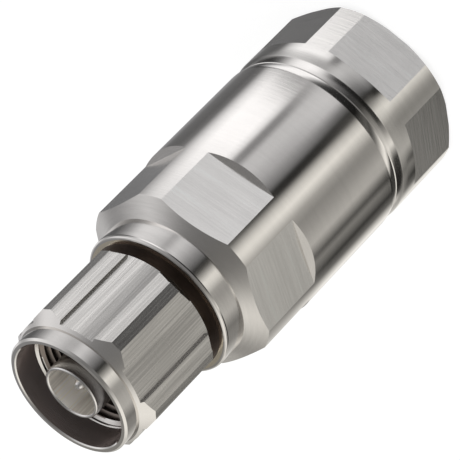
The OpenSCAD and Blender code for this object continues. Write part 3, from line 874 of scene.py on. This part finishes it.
# %% Packed pieces: one finish each
for name, finish in {
    "retaining_ring": spring, "interface_gasket": rubber, "front_bead": bead,
    "rear_bead": bead, "bead_ring": brass, "conductor_socket": gilt,
    "socket_spring": spring, "flare_seat": brass, "body_seal": rubber,
    "clamp_collet": brass, "collet_spring": spring, "thrust_washer": spring,
    "front_gasket_ring": brass, "jacket_gasket": rubber, "rear_gasket_ring": brass,
}.items():
    for slot in nodes[name].material_slots:
        slot.material = finish
    print(name, "wears", finish.name)

# %% [markdown]
# ## The studio
# Polished metal shows nothing but its surroundings, so the surroundings are
# the light. Tall soft boxes and dark cards stand all round the plug, and each
# one draws a stripe along the barrel. They could be lit planes, which would
# cast more light than wanted. They are drawn in the world instead, as rings of
# brightness by direction, one above the other, and only reflections see them.
# A plain pale surround lights the plastic and the rubber, and the view sees
# plain white.

# %% Rings of soft boxes and dark cards, low to high
# each stop of a ring is a direction in degrees and the light from there
DEEP = [
    (-180, 0.30), (-168, 0.90), (-162, 0.78), (-156, 0.19), (-149, 0.06), (-142, 0.09),
    (-128, 0.41), (-120, 0.76), (-111, 1.05), (-103, 1.20), (-73, 1.20), (-63, 0.72),
    (-52, 0.19), (-42, 0.06), (-32, 0.03), (10, 0.01), (32, 0.12), (42, 0.08),
    (52, 0.20), (63, 0.50), (73, 0.84), (83, 1.02), (94, 0.66), (104, 0.04),
    (143, 0.06), (149, 0.22), (156, 0.85), (162, 0.94), (168, 0.51), (180, 0.30),
]
REAR = [
    (-180, 0.45), (-168, 0.28), (-152, 0.15), (-137, 0.06), (-120, 0.12), (-108, 0.30),
    (-96, 0.25), (-84, 0.25), (-64, 0.25), (-48, 0.52), (-36, 0.68), (-24, 0.76),
    (-14, 0.70), (-4, 0.22), (4, 0.05), (12, 0.10), (20, 0.62), (28, 0.88),
    (36, 0.62), (46, 0.30), (56, 0.30), (72, 0.48), (82, 0.40), (90, 0.08),
    (100, 0.01), (112, 0.02), (125, 0.03), (135, 0.10), (146, 0.28), (156, 0.55),
    (168, 0.80), (180, 0.85),
]
LOW = [
    (-180, 0.40), (-160, 0.28), (-148, 0.17), (-128, 0.13), (-118, 0.18), (-104, 0.95),
    (-92, 1.30), (-62, 1.30), (-55, 0.98), (-50, 0.26), (-45, 0.24), (-38, 0.62),
    (-28, 0.62), (-14, 0.47), (0, 0.20), (5, 0.02), (11, 0.02), (19, 0.64),
    (28, 0.96), (40, 0.40), (50, 0.27), (62, 0.34), (80, 0.50), (89, 0.26),
    (96, 0.08), (104, 0.24), (113, 0.14), (121, 0.04), (135, 0.16), (146, 0.60),
    (160, 1.00), (180, 0.60),
]
NEAR = [
    (-180, 0.34), (-160, 0.18), (-148, 0.12), (-136, 0.12), (-122, 0.24), (-108, 0.46),
    (-96, 0.70), (-84, 0.74), (-72, 0.66), (-58, 0.49), (-48, 0.50), (-38, 0.68),
    (-32, 0.70), (-22, 0.49), (-12, 0.27), (-4, 0.16), (4, 0.03), (9, 0.12),
    (16, 0.40), (24, 0.86), (32, 0.72), (42, 0.38), (52, 0.36), (66, 0.45),
    (80, 0.50), (92, 0.34), (102, 0.20), (112, 0.26), (126, 0.27), (142, 0.43),
    (156, 0.59), (180, 0.81),
]
print("stops in the lower rings:", len(DEEP), len(REAR), len(LOW), len(NEAR))

# %% The upper rings, and where one gives way to the next
MID = [
    (-180, 0.45), (-165, 0.58), (-150, 0.94), (-142, 0.75), (-134, 0.26), (-127, 0.08),
    (-112, 0.04), (-105, 0.06), (-97, 0.17), (-90, 0.44), (-82, 0.83), (-74, 1.10),
    (-60, 1.20), (-52, 1.09), (-45, 0.78), (-37, 0.27), (-30, 0.07), (-22, 0.02),
    (8, 0.01), (30, 0.04), (45, 0.34), (60, 0.88), (67, 0.39), (75, 0.04),
    (97, 0.02), (112, 0.02), (120, 0.08), (134, 0.86), (142, 0.71), (150, 0.40),
    (165, 0.40), (180, 0.45),
]
EVEN = [
    (-180, 0.45), (-165, 0.55), (-150, 0.85), (-134, 0.40), (-120, 0.24), (-105, 0.26),
    (-90, 0.55), (-74, 1.00), (-60, 1.10), (-45, 0.80), (-33, 0.35), (-22, 0.15),
    (-8, 0.05), (8, 0.05), (20, 0.18), (35, 0.32), (50, 0.65), (62, 0.90),
    (72, 0.55), (85, 0.30), (100, 0.24), (115, 0.24), (125, 0.35), (138, 0.85),
    (150, 0.55), (165, 0.45), (180, 0.45),
]
HIGH = [
    (-180, 0.25), (-150, 0.26), (-143, 0.30), (-132, 0.52), (-118, 0.95), (-90, 0.72),
    (-60, 0.45), (-30, 0.25), (0, 0.19), (30, 0.25), (60, 0.60), (90, 0.95),
    (118, 0.95), (132, 0.80), (143, 0.42), (155, 0.18), (180, 0.25),
]
ZENITH = [(-180, 0.16), (180, 0.16)]
# each ring above DEEP takes over between two sines of elevation
ABOVE = [
    (REAR, -0.66, -0.63),
    (LOW, -0.606, -0.594),
    (NEAR, -0.545, -0.525),
    (MID, -0.455, -0.40),
    (EVEN, -0.285, -0.235),
    (HIGH, 0.0, 0.30),
    (ZENITH, 0.70, 1.0),
]
print("studio rings:", 1 + len(ABOVE))

# %% World: the direction, and a ring as a ramp
WHITE = (1.0, 1.0, 1.0, 1.0)
world = bpy.data.worlds.new("studio")
bpy.context.scene.world = world
world.use_nodes = True
world.cycles.sampling_method = "NONE"
world.node_tree.nodes.clear()
b = Board(world.node_tree)
way = b.node("ShaderNodeSeparateXYZ")
b.put(b.node("ShaderNodeTexCoord").outputs["Generated"], way.inputs[0])
x, y, z = way.outputs
turn = b.math("ARCTAN2", b.math("MULTIPLY", x, -1.0), b.math("MULTIPLY", y, -1.0))
share = b.math("MULTIPLY_ADD", turn, 0.5 / pi, 0.5)


def tinted(angle, light):
    """Neutral on one side of the plug and a little warmer on the other."""
    warm = 1.0 if angle > 0 else 0.0
    return (light * (1.0 + 0.02 * warm), light, light * (1.02 - 0.07 * warm), 1.0)


def light_ring(stations):
    """A ramp of brightness by direction round the plug. All the stops take
    their places before any takes its colour, as a ramp sorts its stops."""
    ring = b.node("ShaderNodeValToRGB")
    b.put(share, ring.inputs[0])
    stops = ring.color_ramp.elements
    while len(stops) < len(stations):
        stops.new(0.5)
    for stop, (angle, _) in zip(stops, stations):
        stop.position = angle / FULL_TURN + 0.5
    for stop, station in zip(stops, stations):
        stop.color = tinted(*station)
    return ring.outputs[0]


print("world:", world.name)

# %% World: the rings one above the other, and who sees them
surround = light_ring(DEEP)
for stations, low, high in ABOVE:
    change = b.node("ShaderNodeMapRange", interpolation_type="SMOOTHSTEP")
    for value, socket in zip((z, low, high), change.inputs):
        b.put(value, socket)
    surround = b.mix(change.outputs[0], surround, light_ring(stations))
PALE = (0.62, 0.62, 0.62, 1.0)
path = b.node("ShaderNodeLightPath")
light = b.mix(path.outputs["Is Glossy Ray"], PALE, surround)
glow = b.node("ShaderNodeBackground")
b.put(b.mix(path.outputs["Is Camera Ray"], light, WHITE), glow.inputs[0])
b.put(glow.outputs[0], b.node("ShaderNodeOutputWorld").inputs[0])
print("world nodes:", len(world.node_tree.nodes))

# %% [markdown]
# ## Floor and lamp
# The plug stands on pale paper. A large plane is enough for a floor. It lies
# just under the rear face, so the two don't flicker into one another, and it
# glows a little, so it is nearly white but still takes the plug's shadow. One
# wide lamp above gives that shadow. Reflections see neither the paper nor the
# lamp, because the rings already say what metal shows.

# %% Floor
FLOOR_REACH, FLOOR_Z = 3.0, -0.3 * MM
PAPER, PAPER_GLOW = (0.35, 0.35, 0.35, 1.0), 0.8
corners = [
    (side_x * FLOOR_REACH, side_y * FLOOR_REACH, FLOOR_Z)
    for side_x, side_y in ((-1, -1), (1, -1), (1, 1), (-1, 1))
]
floor_mesh = bpy.data.meshes.new("floor")
floor_mesh.from_pydata(corners, [], [(0, 1, 2, 3)])
floor = bpy.data.objects.new("floor", floor_mesh)
bpy.context.scene.collection.objects.link(floor)
floor.visible_glossy = False
paper, b, shader = new_finish("floor_paper")
for key, value in {
    "Base Color": PAPER, "Roughness": 1.0, "Specular IOR Level": 0.0,
    "Emission Color": WHITE, "Emission Strength": PAPER_GLOW,
}.items():
    b.put(value, shader.inputs[key])
floor_mesh.materials.append(paper)
print("floor at", FLOOR_Z, "m")

# %% Lamp
lamp_data = bpy.data.lights.new("soft_lamp", "SUN")
lamp_data.angle = radians(50.0)
lamp_data.energy = 0.5
lamp = bpy.data.objects.new("soft_lamp", lamp_data)
lamp.rotation_euler = Vector((-0.5, -0.6, 1.0)).to_track_quat("Z", "Y").to_euler()
lamp.visible_glossy = False
bpy.context.scene.collection.objects.link(lamp)
print("lamp energy", lamp_data.energy)

# %% [markdown]
# ## The camera
# The view looks down on the mating face from the front, and the camera is
# rolled so that the plug lies on a diagonal, with its face at the lower left.
# A short lens would widen the near end. A long lens from far off keeps the
# barrel's sides almost parallel.

# %% Camera
ELEVATION, ROLL, DISTANCE = 32.33, -135.8, 0.4179
AIM = Vector((0.0, 0.0, 31.02 * MM))
lens = bpy.data.cameras.new("camera")
lens.lens = 258.2
lens.sensor_width = 36.0
camera = bpy.data.objects.new("camera", lens)
out = Vector((0.0, -cos(radians(ELEVATION)), sin(radians(ELEVATION))))
facing = out.to_track_quat("Z", "Y").to_matrix().to_4x4()
rolled = Matrix.Rotation(radians(ROLL), 4, "Z")
camera.matrix_world = Matrix.Translation(AIM + out * DISTANCE) @ facing @ rolled
bpy.context.scene.collection.objects.link(camera)
bpy.context.scene.camera = camera
bpy.context.scene.view_settings.view_transform = "Standard"
print("camera at", [round(v, 4) for v in camera.matrix_world.translation])

# %% [markdown]
# ## The end
# The dressed plug should fill the same box as the packed one.
